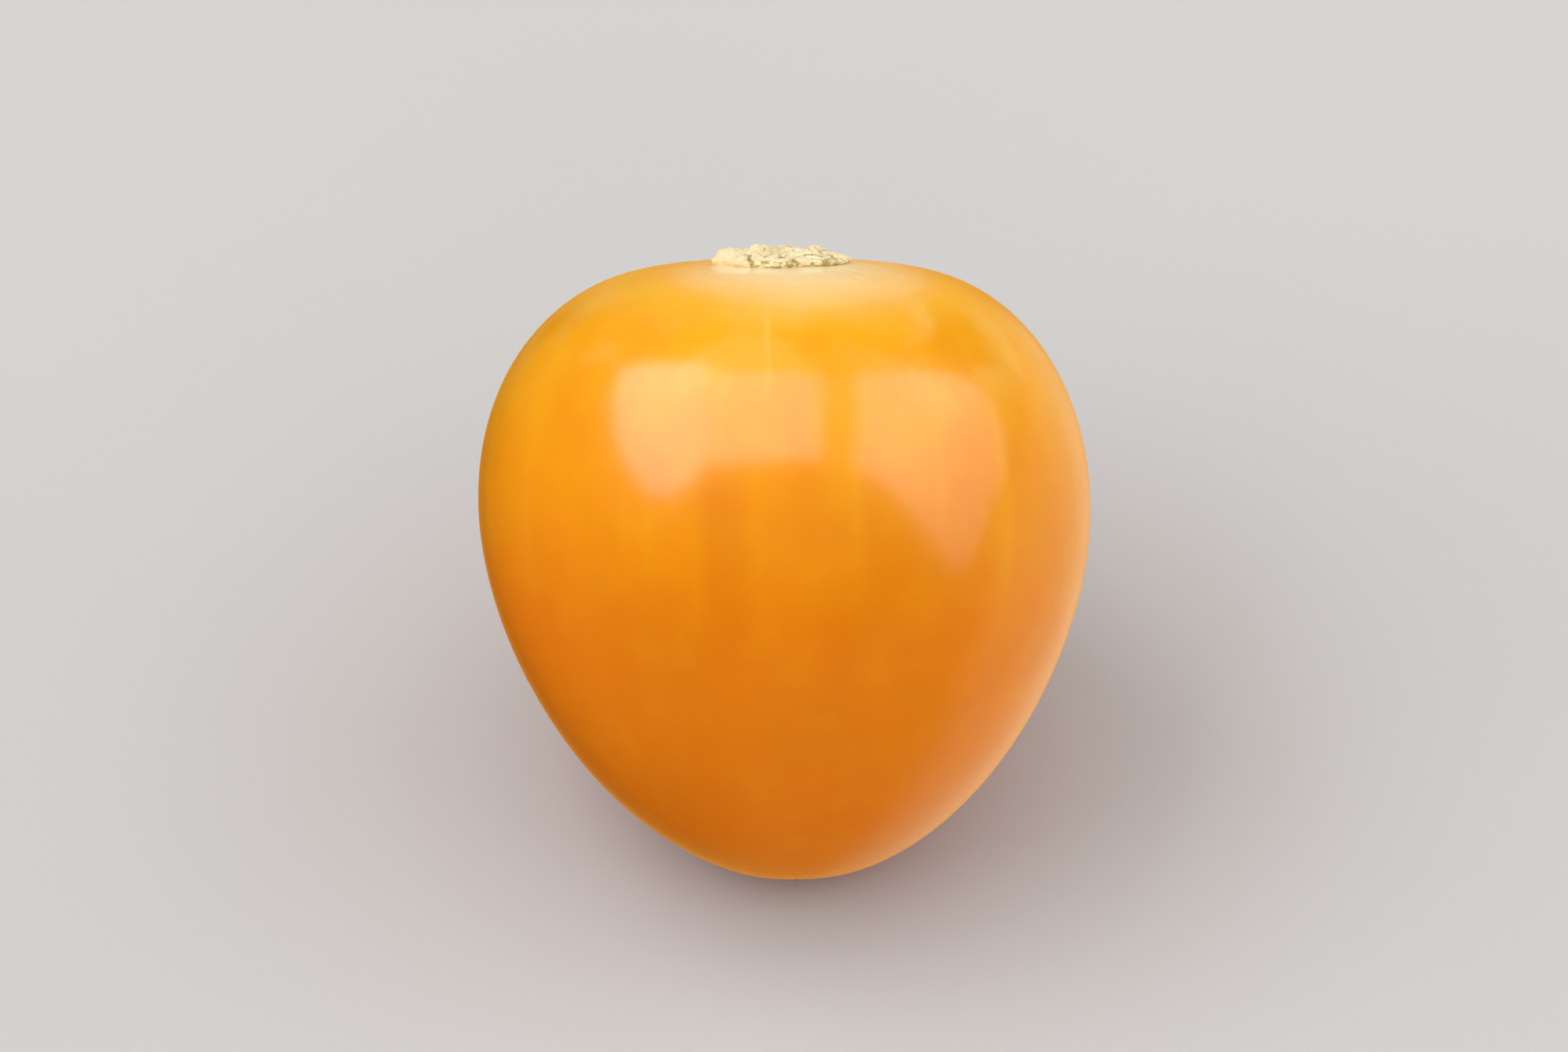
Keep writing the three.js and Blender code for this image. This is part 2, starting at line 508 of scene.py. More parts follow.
VEIN = ((0.92, 0.44, 0.012), 0.28)
RAY = ((0.78, 0.34, 0.01), 0.22)
# Painted warm light on the left side.
PAINTED_WARM_BOUNCE = ((0.80, 0.150, 0.001), 0.45)
# A painted reflection of the light from above, on the shoulders.
SHOULDER_SHEEN = ((0.96, 0.55, 0.08), 0.40)
CLOUD_COLOUR = (0.97, 0.64, 0.18)
DASH = ((0.86, 0.56, 0.12), 0.14)
BACK_RING = ((0.90, 0.62, 0.13), 0.75)
BACK_RAY = ((0.68, 0.33, 0.02), 0.42)
SEAM = ((0.99, 0.58, 0.14), 0.22)
STYLE_DIMPLE = ((0.88, 0.46, 0.05), 0.4)
DARK_FLESH = (0.68, 0.16, 0.001)
PALE_FLESH = (0.93, 0.47, 0.006)

# Bands down the front: turn from the front, half width in radians, lowest and highest place, share, colour.
FRONT_BANDS = [
    (-0.19, 0.13, -2.0, 3.2, 0.34, DARK_FLESH),
    (0.24, 0.17, -4.2, -0.6, 0.24, DARK_FLESH),
    (0.20, 0.17, 2.6, 6.2, 0.22, PALE_FLESH),
    (-0.62, 0.12, -4.5, 2.0, 0.16, DARK_FLESH),
    (0.66, 0.14, -3.0, 3.0, 0.16, DARK_FLESH),
]
BAND_FADE_LOW = 1.5
BAND_FADE_HIGH = 1.2

# Where the marks start and where they are full, in the fruit's own frame: places on X, Y or Z, and
# distances from the axis, the ring's middle, the seam or the style. A stray is how far an edge wanders.
# Where the flesh's colour, with its painted light and shade, runs from bottom to top.
FLESH_AND_TOP_LIGHT_Z = (-8.5, 11.5)
FLESH_STRAY = 3.0
CROWN_STRAY = 2.4
VEIN_Z = (-5.0, 6.0)
RAY_Z = (1.0, 8.0)
BAND_STRAY = 0.12
# Where the painted warm light on the left side falls.
WARM_BOUNCE_X = (-4.0, -9.0)
WARM_BOUNCE_Z = (6.0, -1.0)
CROWN_Z = (3.0, 5.0)
# Where the painted reflection on the shoulders falls.
SHOULDER_SHEEN_REACH = (7.6, 5.4)
CLOUD_Z = (4.6, 6.6)
CLOUD_X = (1.5, 5.0)
CLOUD_SHARES = (0.15, 0.30)
HALO_SHIFT_X = -0.6
HALO_NARROW = 1.15
HALO_SHIFT_Y = 1.5
HALO_STRAY = 1.0
HALO_INNER = 1.9
HALO_OUTER = 5.8
HALO_FADE = 1.6
DASH_START = (2.2, 3.4)
DASH_END = (5.6, 3.6)
BACK_Y = (0.3, 2.8)
BACK_RAY_START = (2.6, 3.8)
BACK_RAY_Z = (2.0, 6.0)
SEAM_X = -0.36
SEAM_REACH = (0.19, 0.02)
SEAM_Y = (-5.0, -6.2)
SEAM_Z = (5.4, 6.8)
STYLE_STRAY = 1.2
STYLE_REACH = (2.0, 0.3)
STYLE_Z = (-6.0, -9.0)


def front_bands(tree, flesh, x, y, z, wander):
    """Darker bands down the front, with a pale band between them."""
    around = maths(tree, "ARCTAN2", x, product(tree, y, -1.0))
    around = strayed(tree, around, wander, BAND_STRAY)
    for turn, half_width, low, high, share, colour in FRONT_BANDS:
        across = remap(tree, apart(tree, around, turn), half_width, half_width * 0.15)
        above = remap(tree, z, low - BAND_FADE_LOW, low + BAND_FADE_LOW)
        below = remap(tree, z, high + BAND_FADE_HIGH, high - BAND_FADE_HIGH)
        flesh = lay(tree, flesh, (colour, share), across, above, below)
    return flesh


def fruit_skin_material():
    material, tree, shader = new_material("fruit_skin")
    spot = fruit_coordinates(tree)
    x, y, z = axes_of(tree, spot)
    flat = vector_of(tree, x, y)
    wander = noise_texture(tree, spot, 0.45, detail=2.0)
    ragged = strayed(tree, length_of(tree, flat), wander, CROWN_STRAY)

    # Ripe flesh: deep orange at the blossom end, and yellower towards the crown. This is partly the skin's
    # own colour and partly painted light and shade, painted lighter towards the top and darker towards the
    # bottom.
    drift = maths(tree, "MULTIPLY_ADD", wander, FLESH_STRAY, z)
    flesh = colour_steps(tree, remap(tree, drift, *FLESH_AND_TOP_LIGHT_Z, smooth=False), FLESH_AND_TOP_LIGHT_STEPS)
    flesh = lay(tree, flesh, RIPE_PATCH, mottle_on(tree, spot, 3.4, 0.4, 0.72))
    flesh = lay(tree, flesh, SEED, mottle_on(tree, spot, 1.2, 0.5, 0.75))

    # Pale veins under the skin, from the crown to well past the girth, and finer rays near the crown.
    veins = streaks_on(tree, spot, 5.0, 0.07, 0.50, 0.70)
    flesh = lay(tree, flesh, VEIN, veins, remap(tree, z, *VEIN_Z))
    rays = streaks_on(tree, spot, 16.0, 0.1, 0.55, 0.68)
    lines = product(tree, rays, remap(tree, z, *RAY_Z), RAY[1])
    flesh = mix_colours(tree, lines, flesh, RAY[0])
    flesh = front_bands(tree, flesh, x, y, z, wander)

    # The left side is painted redder, more so lower down: painted warm light thrown onto it from beside it.
    flesh = lay(tree, flesh, PAINTED_WARM_BOUNCE, remap(tree, x, *WARM_BOUNCE_X), remap(tree, drift, *WARM_BOUNCE_Z))

    # Shoulders painted paler, a painted reflection of the light from above, with faint clouds, and a cream
    # ring where the husk sat, widest towards the front.
    on_crown = remap(tree, z, *CROWN_Z)
    flesh = lay(tree, flesh, SHOULDER_SHEEN, remap(tree, ragged, *SHOULDER_SHEEN_REACH), on_crown)
    clouds = product(tree, mottle_on(tree, spot, 1.9, 0.40, 0.74), remap(tree, z, *CLOUD_Z))
    clouds = product(tree, clouds, remap(tree, x, *CLOUD_X, *CLOUD_SHARES))
    flesh = mix_colours(tree, clouds, flesh, CLOUD_COLOUR)
    beside = maths(tree, "MULTIPLY_ADD", x, HALO_NARROW, HALO_SHIFT_X)
    off_middle = vector_of(tree, beside, maths(tree, "ADD", y, HALO_SHIFT_Y))
    from_halo = strayed(tree, length_of(tree, off_middle), wander, HALO_STRAY)
    cream = colour_steps(tree, remap(tree, from_halo, HALO_INNER, HALO_OUTER, smooth=False), CREAM_STEPS)
    halo = product(tree, remap(tree, from_halo, HALO_OUTER, HALO_OUTER - HALO_FADE), on_crown)
    flesh = mix_colours(tree, halo, flesh, cream)
    dashes = streaks_on(tree, spot, 13.0, 0.6, 0.50, 0.66)
    ring = product(tree, remap(tree, ragged, *DASH_START), remap(tree, ragged, *DASH_END))
    flesh = lay(tree, flesh, DASH, dashes, ring, on_crown)

    # Behind the stem the ring is yellower, and ochre rays run out from it.
    at_back = remap(tree, y, *BACK_Y)
    flesh = lay(tree, flesh, BACK_RING, halo, at_back)
    reach = product(tree, remap(tree, ragged, *BACK_RAY_START), remap(tree, z, *BACK_RAY_Z))
    flesh = lay(tree, flesh, BACK_RAY, rays, reach, at_back)

    # One pale seam runs down from the stem at the front.
    seam = product(tree, remap(tree, apart(tree, x, SEAM_X), *SEAM_REACH), remap(tree, y, *SEAM_Y))
    flesh = lay(tree, flesh, SEAM, seam, remap(tree, z, *SEAM_Z))

    # The dimple round the style is paler.
    style_side = vector_maths(tree, "SUBTRACT", flat, (BLOSSOM_SHIFT, 0.0, 0.0))
    from_style = strayed(tree, length_of(tree, style_side), wander, STYLE_STRAY)
    flesh = lay(tree, flesh, STYLE_DIMPLE, remap(tree, from_style, *STYLE_REACH), remap(tree, z, *STYLE_Z))

    gloss = mottle_on(tree, spot, 1.6, 0.3, 0.7)
    roughness = maths(tree, "MULTIPLY_ADD", gloss, 0.04, 0.28)
    roughness = maths(tree, "MULTIPLY_ADD", halo, 0.12, roughness)
    pores = use_group(tree, PEBBLES, Vector=spot, Cell_Size=0.22, Crumble=0.4)["Height"]
    relief(tree, shader, maths(tree, "MULTIPLY_ADD", lines, 0.8, pores), 0.006, 0.5)
    feed_all(
        tree, shader, Base_Color=flesh, Roughness=roughness, IOR=1.42, Specular_IOR_Level=0.2,
        Specular_Tint=(1.0, 0.95, 0.12, 1.0), Coat_Weight=0.8, Coat_Roughness=0.19,
        Subsurface_Weight=0.35, Subsurface_Radius=(1.0, 0.32, 0.06), Subsurface_Scale=2.2 * MM,
    )
    return material


# The cork's colours, and where its back half starts to be browner.
FRESH_CORK = (0.86, 0.73, 0.43)
DULL_CORK = (0.80, 0.64, 0.35)
PALE_GRAIN = ((0.91, 0.80, 0.53), 0.6)
DARK_GRAIN = ((0.34, 0.25, 0.06), 0.25)
STAIN = ((0.56, 0.39, 0.16), 0.65)
STAIN_Y = (0.1, 1.4)
# Dirt and painted shade in the cork's creases, grooves and undercut.
DIRT_AND_SHADE = ((0.38, 0.285, 0.08), 0.9)


def cork_material():
    material, tree, shader = new_material("cork")
    spot = fruit_coordinates(tree)
    dirt_and_shade = add_node(tree, "ShaderNodeAttribute", attribute_name="dirt_and_shade").outputs["Fac"]
    tone = noise_texture(tree, spot, 1.1)
    body = mix_colours(tree, remap(tree, tone, 0.38, 0.62), FRESH_CORK, DULL_CORK)
    grain, other_grain, _ = axes_of(tree, cell_texture(tree, spot, 6.0, output="Color"))
    body = lay(tree, body, PALE_GRAIN, remap(tree, grain, 0.45, 0.9))
    body = lay(tree, body, DARK_GRAIN, remap(tree, other_grain, 0.93, 0.98))
    weathered = remap(tree, noise_texture(tree, spot, 2.4, detail=2.0), 0.42, 0.60)
    body = lay(tree, body, STAIN, weathered, remap(tree, axes_of(tree, spot)[1], *STAIN_Y))
    # The creases, the grooves, the underside and the foot of the wall are painted darker: dirt and painted
    # shade.
    body = lay(tree, body, DIRT_AND_SHADE, remap(tree, dirt_and_shade, 0.08, 0.75))
    pebbles = use_group(tree, PEBBLES, Vector=spot, Cell_Size=0.09, Crumble=0.8)
    relief(tree, shader, pebbles["Height"], 0.03, 0.9)
    roughness = maths(tree, "MULTIPLY_ADD", pebbles["Crease"], 0.15, 0.78)
    feed_all(
        tree, shader, Base_Color=body, Roughness=roughness, Specular_IOR_Level=0.3,
        Subsurface_Weight=0.15, Subsurface_Radius=(1.0, 0.6, 0.3), Subsurface_Scale=0.15 * MM,
    )
    return material


DRY_STYLE = (0.13, 0.055, 0.010)
DRY_STYLE_PALE = (0.36, 0.17, 0.035)


def dry_style_material():
    material, tree, shader = new_material("dry_style")
    spot = fruit_coordinates(tree)
    body = mix_colours(tree, mottle_on(tree, spot, 0.3, 0.35, 0.65), DRY_STYLE, DRY_STYLE_PALE)
    pebbles = use_group(tree, PEBBLES, Vector=spot, Cell_Size=0.07, Crumble=0.8)
    roughness = maths(tree, "MULTIPLY_ADD", pebbles["Crease"], 0.2, 0.6)
    feed_all(tree, shader, Base_Color=body, Roughness=roughness)
    relief(tree, shader, pebbles["Height"], 0.03, 0.8)
    return material


# The skin's own mesh.
SKIN_ROWS = 210
SKIN_SEGMENTS = 300
ROWS_TO_POLES = 0.35
SKIN_WAVES = 0.03
SKIN_WAVE_SIZE = 4.0
PUCKERS = 23
PUCKER_DEPTH = 0.0035
PUCKER_RING = 3.1
PUCKER_REACH = 1.3


def skin_relief(points, turn):
    """Slow waves all over the skin, and fine puckers that run out from the stem."""
    radius = np.hypot(points[..., 0], points[..., 1])
    waves = SKIN_WAVES * noise_at(points, SKIN_WAVE_SIZE, 3.7)
    fan = noise_at(level_direction(turn) * 2.5, 1.0, 9.1)
    puckers = np.cos(PUCKERS * turn + 5 * fan) * bump(radius - PUCKER_RING, PUCKER_REACH)
    return waves + PUCKER_DEPTH * (puckers * (points[..., 2] > 0))


def make_fruit_skin():
    even = np.pi * np.arange(1, SKIN_ROWS) / SKIN_ROWS
    polar = even - ROWS_TO_POLES * np.sin(2 * even) / 2
    polar_grid, turn_grid = np.meshgrid(polar, turns(SKIN_SEGMENTS), indexing="ij")
    points = skin_point(polar_grid, turn_grid)
    points = points + direction(polar_grid, turn_grid) * skin_relief(points, turn_grid)[..., None]
    poles = skin_point(np.array([0.0, math.pi]), np.zeros(2))
    vertices, faces = closed_grid(to_row(press_flat(points)), *to_row(poles))
    return make_piece("fruit_skin", vertices, faces, fruit_skin_material())


# The corky pad on the crown.
PAD_RADIUS = 2.04
PAD_THICKNESS = 0.24
PAD_THINNEST = 0.05
PAD_EDGE = 0.12
PAD_CLEARANCE = 0.04
PAD_PIT_DEPTH = 0.12
PAD_PIT_RADIUS = 0.4
PAD_PIT_SHIFT = 0.1
PAD_HUMP_FADE = 11
PAD_SEGMENTS = 260
PAD_FACE_ROWS = 100
PAD_FACE_CROWDING = 1.15
PAD_UNDERSIDE_ROWS = 8
PAD_WALL_ROWS = 10
PAD_UNDERCUT = 0.955
PAD_SINK = 0.02
# How dark the cork is painted: painted shade under the pad, and dirt with painted shade on its wall and in
# its pit.
PAD_SHADE_UNDER = 0.9
PAD_DIRT_AND_SHADE_ON_WALL = 0.7
PAD_DIRT_AND_SHADE_IN_PIT = 0.4

# Scallops of the pad's outline: how many go round, how deep, and how far they are turned.
PAD_SCALLOPS = [(2, 0.05, 0.5), (3, 0.045, -0.6), (5, 0.03, 2), (9, 0.025, 1)]

# Swollen lumps of cork on the pad: middle x and y, height, and half widths in x and y.
PAD_HUMPS = [
    (-1.62, 0.05, 0.20, 0.52, 0.95),
    (-0.60, 0.20, 0.27, 0.42, 0.66),
    (-0.50, -0.95, 0.15, 0.46, 0.42),
    (0.42, 0.15, 0.14, 0.44, 0.80),
    (1.14, 0.25, 0.24, 0.28, 0.52),
    (0.85, -0.85, 0.15, 0.46, 0.40),
    (1.70, -0.15, 0.05, 0.30, 0.45),
    (0.10, 1.25, 0.17, 0.48, 0.32),
    (-1.15, -1.10, 0.12, 0.34, 0.30),
    (-1.20, 1.15, 0.13, 0.36, 0.32),
    (1.15, 1.15, 0.12, 0.36, 0.30),
]

# Grooves in the pad's front half, darkened with dirt and painted shade: from x and y, to x and y, and half
# width.
PAD_GROOVES = [
    (-0.78, -1.98, -0.96, -1.30, 0.08),
    (-0.96, -1.30, -0.82, -0.60, 0.09),
    (0.24, -0.78, 0.74, -0.36, 0.08),
    (0.80, -1.22, 1.32, -1.06, 0.08),
    (-0.62, -1.96, -0.48, -2.00, 0.06),
    (-0.10, -2.04, 0.06, -2.04, 0.06),
    (0.46, -1.50, 0.62, -1.98, 0.05),
    (1.40, -1.46, 1.80, -0.94, 0.07),
]


def groove_share(x, y):
    """How deep in a groove a place is, from 0 to 1."""
    deepest = np.zeros_like(x)
    for start_x, start_y, end_x, end_y, half_width in PAD_GROOVES:
        run_x, run_y = end_x - start_x, end_y - start_y
        along = np.clip(((x - start_x) * run_x + (y - start_y) * run_y) / (run_x**2 + run_y**2), 0, 1)
        away = np.hypot(x - start_x - along * run_x, y - start_y - along * run_y)
        deepest = np.maximum(deepest, np.clip(1.25 - away / half_width, 0, 1))
    return deepest


def front_dirt_and_shade(x, y):
    """The pad's creases are painted darker along its front, with dirt and painted shade, and hardly at all
    at its blunt left end.
    """
    to_right = np.clip((x + 1.25) / 0.9, 0, 1)
    to_front = np.clip((0.9 - y) / 1.8, 0, 1)
    return 0.12 + 0.88 * to_right * to_front


def pad_outline(turn):
    scallops = sum(depth * np.cos(count * turn + shift) for count, depth, shift in PAD_SCALLOPS)
    round_it = level_direction(turn)
    torn = 0.03 * noise_at(round_it * 6.0, 1.0, 21.3) + 0.02 * noise_at(round_it * 15.0, 1.0, 4.1)
    return PAD_RADIUS * (1 + scallops + torn)


def pad_pit(x, y):
    return bump(np.hypot(x, y + PAD_PIT_SHIFT), PAD_PIT_RADIUS)


def pad_thickness(x, y, share):
    body = PAD_EDGE + (PAD_THICKNESS - PAD_EDGE) * np.sqrt(np.clip(1 - share**5, 0, 1))
    humps = np.zeros_like(x)
    for hump_x, hump_y, height, half_x, half_y in PAD_HUMPS:
        away = np.hypot((x - hump_x) / half_x, (y - hump_y) / half_y)
        humps = np.maximum(humps, height * np.exp(-(away**3)))
    fade = np.clip((1 - share) * PAD_HUMP_FADE, 0, 1)
    return body + humps * fade - PAD_PIT_DEPTH * pad_pit(x, y)


def pad_granules(x, y):
    """Cork granules in millimetres above and below the pad's face, and how dark its creases are painted,
    with dirt and painted shade.
    """
    flat = points_at(x, y, 0.0)
    bent = flat + 0.10 * points_at(noise_at(flat, 0.5, 1.0), noise_at(flat, 0.5, 2.0), 0.0)
    creases = np.clip(1 - np.abs(noise_at(bent, 0.46, 6.0)) / 0.17, 0, 1)
    fine_creases = np.clip(1 - np.abs(noise_at(bent, 0.22, 12.0)) / 0.10, 0, 1)
    coarse = lumps_at(flat, 0.30, 2.0)
    fine = lumps_at(flat, 0.14, 8.0)
    rise = 0.04 * (coarse - 0.6) + 0.018 * (fine - 0.6) + 0.04 * noise_at(flat, 0.6, 5.5)
    dirt_and_shade_here = np.clip(1.0 * creases**1.5 + 0.2 * fine_creases**2, 0, 1) * front_dirt_and_shade(x, y)
    grooves = groove_share(bent[..., 0], bent[..., 1])
    return rise - 0.07 * creases - 0.02 * fine_creases - 0.06 * grooves, np.maximum(dirt_and_shade_here, grooves)


def pad_underside(turn, reach):
    """Rows of points and of dirt under the pad, from its middle to its edge."""
    rows = []
    for share in np.arange(1, PAD_UNDERSIDE_ROWS + 1) / PAD_UNDERSIDE_ROWS:
        distance = reach * share * PAD_UNDERCUT
        points = ring_points(turn, distance, height_at(distance, True) - PAD_SINK)
        # The underside is painted dark, as painted shade under the pad.
        rows.append((points, np.full(PAD_SEGMENTS, PAD_SHADE_UNDER)))
    return rows


def pad_wall(turn, reach, foot):
    """Rows up the torn wall of the pad, which is undercut at the skin."""
    rows = []
    lip = height_at(reach, True) + PAD_CLEARANCE + PAD_EDGE
    for step in np.arange(1, PAD_WALL_ROWS) / PAD_WALL_ROWS:
        flare = PAD_UNDERCUT + (1 - PAD_UNDERCUT) * math.sin(step * QUARTER_TURN)
        wall = ring_points(turn, reach * flare, foot * (1 - step) + lip * step)
        granules = 0.07 * (lumps_at(wall, 0.26, 31.0) - 0.7) + 0.025 * noise_at(wall, 0.14, 5.0)
        wall = wall + ring_points(turn, granules * math.sin(step * math.pi), 0.0)
        # Dark flecks on the wall, painted darker towards its foot as painted shade in the undercut.
        flecks_and_shade = np.clip(0.1 + 2.4 * noise_at(wall * [1, 1, 2.2], 0.15, 3.0), 0, 1)
        flecks_and_shade = np.clip(flecks_and_shade * (1.15 - 0.6 * step) + 0.3 * (1 - step), 0, 1)
        flecks_and_shade = flecks_and_shade * front_dirt_and_shade(wall[:, 0], wall[:, 1])
        grooves = PAD_DIRT_AND_SHADE_ON_WALL * groove_share(wall[:, 0], wall[:, 1])
        rows.append((wall, np.maximum(flecks_and_shade, grooves)))
    return rows


def pad_face(turn, reach):
    """Rows across the pad's face, from its edge to its middle."""
    rows = []
    for share in np.sin((1 - np.arange(PAD_FACE_ROWS) / PAD_FACE_ROWS) * QUARTER_TURN) ** PAD_FACE_CROWDING:
        x, y = reach * share * np.cos(turn), reach * share * np.sin(turn)
        granules, creases = pad_granules(x, y)
        granules = granules * min(1.0, (1 - share) * 8 + 0.2)
        thickness = pad_thickness(x, y, np.full_like(x, share)) + granules
        height = height_at(reach * share, True) + PAD_CLEARANCE + np.maximum(thickness, PAD_THINNEST)
        # Dirt and painted shade in the creases and in the pit.
        dirt_and_shade_here = np.clip(creases + PAD_DIRT_AND_SHADE_IN_PIT * pad_pit(x, y), 0, 1)
        rows.append((ring_points(turn, reach * share, height), dirt_and_shade_here))
    return rows


def make_scar_pad(material):
    """The corky pad, as a closed crust seated on the crown, with its creases marked for their dirt and
    painted shade.
    """
    turn = turns(PAD_SEGMENTS)
    reach = pad_outline(turn)
    rows = pad_underside(turn, reach)
    rows = rows + pad_wall(turn, reach, rows[-1][0][:, 2]) + pad_face(turn, reach)
    bottom = [0, 0, crown_height(0, 0) - PAD_SINK]
    top = rows[-1][0].mean(0)
    vertices, faces = closed_grid(to_row(np.array([points for points, _ in rows])), *to_row([bottom, top]))
    dirt_and_shade_values = np.concatenate([np.array([dirt_and_shade_here for _, dirt_and_shade_here in rows]).ravel(), [PAD_SHADE_UNDER, 0.5]])
    return make_piece("scar_pad", vertices, faces, material, dirt_and_shade_values)


def pad_top(x, y):
    """Height of the pad's face at a place, or of the skin beside it."""
    x, y = np.array([x]), np.array([y])
    distance = np.hypot(x, y)
    share = distance / pad_outline(np.arctan2(y, x))
    thickness = pad_thickness(x, y, np.clip(share, 0, 1)) + pad_granules(x, y)[0]
    seat = height_at(distance, True)
    return float(np.where(share < 0.97, seat + PAD_CLEARANCE + thickness, seat)[0])


# Crumbs and grit: count, seed, inner and outer share of the pad, sink, and in millimetres the smallest,
# largest and lumpiness, and the nodes' seed.
CRUMBS = (110, 31, 0.05, 0.90, 0.025, 0.03, 0.075, 0.03, 4)
GRIT = (220, 77, 0.3, 0.97, 0.005, 0.012, 0.030, 0.015, 9)
CRUMB_LUMPS_PER_METRE = 11000.0


def random_vector(tree, lowest, highest, seed):
    node = add_node(tree, "FunctionNodeRandomValue", data_type="FLOAT_VECTOR")
    for socket, value in ((node.inputs[0], lowest), (node.inputs[1], highest), (node.inputs["Seed"], seed)):
        feed(tree, socket, value)
    return node.outputs[0]


def crumb_tree():
    """Geometry Nodes: an irregular crumb at each point, each with its own size, turn and shape."""
    inputs = {
        "Places": "Geometry", "Smallest": "Float", "Largest": "Float", "Lumpiness": "Float",
        "Seed": "Int", "Finish": "Material",
    }
    tree, given, result = new_group("cork_crumbs", inputs, {"Crumbs": "Geometry"}, "GeometryNodeTree")
    crumb = fed_node(tree, "GeometryNodeMeshIcoSphere", Radius=1.0, Subdivisions=2)["Mesh"]
    turn = random_vector(tree, (0.0, 0.0, 0.0), (FULL_TURN, FULL_TURN, FULL_TURN), given["Seed"])
    smallest, largest = [vector_of(tree, *[given[end]] * 3) for end in ("Smallest", "Largest")]
    size = random_vector(tree, smallest, largest, maths(tree, "ADD", given["Seed"], 1.0))
    scatter = {"Points": given["Places"], "Instance": crumb, "Rotation": turn, "Scale": size}
    crumbs = fed_node(tree, "GeometryNodeInstanceOnPoints", **scatter)["Instances"]
    crumbs = fed_node(tree, "GeometryNodeRealizeInstances", Geometry=crumbs)["Geometry"]
    # Each crumb is pushed out of round by noise at its own place.
    where = add_node(tree, "GeometryNodeInputPosition").outputs[0]
    lumps = fed_node(tree, "ShaderNodeTexNoise", Vector=where, Scale=CRUMB_LUMPS_PER_METRE, Detail=1.0)
    push = vector_maths(tree, "SUBTRACT", lumps["Color"], (0.5, 0.5, 0.5))
    push = vector_maths(tree, "SCALE", push, given["Lumpiness"])
    crumbs = fed_node(tree, "GeometryNodeSetPosition", Geometry=crumbs, Offset=push)["Geometry"]
    finish = {"Geometry": crumbs, "Material": given["Finish"]}
    crumbs = fed_node(tree, "GeometryNodeSetMaterial", **finish)["Geometry"]
    tree.links.new(crumbs, result["Crumbs"])
    return tree


def place_on_pad(share, turn):
    """Where a share of the pad's reach is, at one turn round it."""
    distance = share * float(pad_outline(np.array([turn]))[0])
    return distance * math.cos(turn), distance * math.sin(turn)


def crumb_places(count, seed, inner, outer, sink):
    """Places on the pad's face, evenly spread between two shares of its outline."""
    dice = random.Random(seed)
    places = []
    for _ in range(count):
        turn = dice.uniform(0, FULL_TURN)
        x, y = place_on_pad(math.sqrt(dice.uniform(inner**2, outer**2)), turn)
        places.append((x, y, pad_top(x, y) - sink))
    return places


def make_crumbs(name, sizes, tree, material):
    """The crumbs as one plain mesh: the nodes' result is kept, and the nodes are removed."""
    smallest, largest, lumpiness, seed = sizes[5:]
    values = {
        "Smallest": smallest * MM, "Largest": largest * MM, "Lumpiness": lumpiness * MM,
        "Seed": seed, "Finish": material,
    }
    places = bpy.data.meshes.new(name + "_places")
    places.from_pydata([tuple(p) for p in to_row(crumb_places(*sizes[:5]))], [], [])
    maker = new_object(name + "_maker", places)
    modifier = maker.modifiers.new("crumbs", "NODES")
    modifier.node_group = tree
    for item in tree.interface.items_tree:
        if item.name in values:
            modifier[item.identifier] = values[item.name]
    ready = maker.evaluated_get(bpy.context.evaluated_depsgraph_get())
    mesh = bpy.data.meshes.new_from_object(ready)
    mesh.name = name
    bpy.data.objects.remove(maker)
    return finished(name, mesh, np.zeros(len(mesh.vertices)))


# Torn ends of the stalk's strands on the humps, and loose fibres nearer the pad's edge: how far they
# rise and run, in millimetres.
STRANDS = 5
FIBRES = 14
STRAND_RISE = (0.01, 0.04)
STRAND_RUN = (0.06, 0.12)
FIBRE_RISE = (0.0, 0.03)
FIBRE_RUN = (0.12, 0.22)
FIBRE_DISTANCE = (0.55, 0.75)
FIBRE_SIDES = 7
FIBRE_STEPS = 7


def tube(path, start_radius, end_radius):
    """A closed tapering tube along a path."""
    along = np.gradient(path, axis=0)
    along /= np.linalg.norm(along, axis=1, keepdims=True)
    side = np.cross(along, [0.31, 0.87, 0.38])
    side /= np.linalg.norm(side, axis=1, keepdims=True)
    other = np.cross(along, side)
    radius = np.linspace(start_radius, end_radius, len(path))[:, None, None]
    turn = turns(FIBRE_SIDES)[None, :, None]
    rings = path[:, None, :] + radius * (side[:, None, :] * np.cos(turn) + other[:, None, :] * np.sin(turn))
    return closed_grid(rings, path[0] - along[0] * start_radius * 0.5, path[-1] + along[-1] * end_radius)


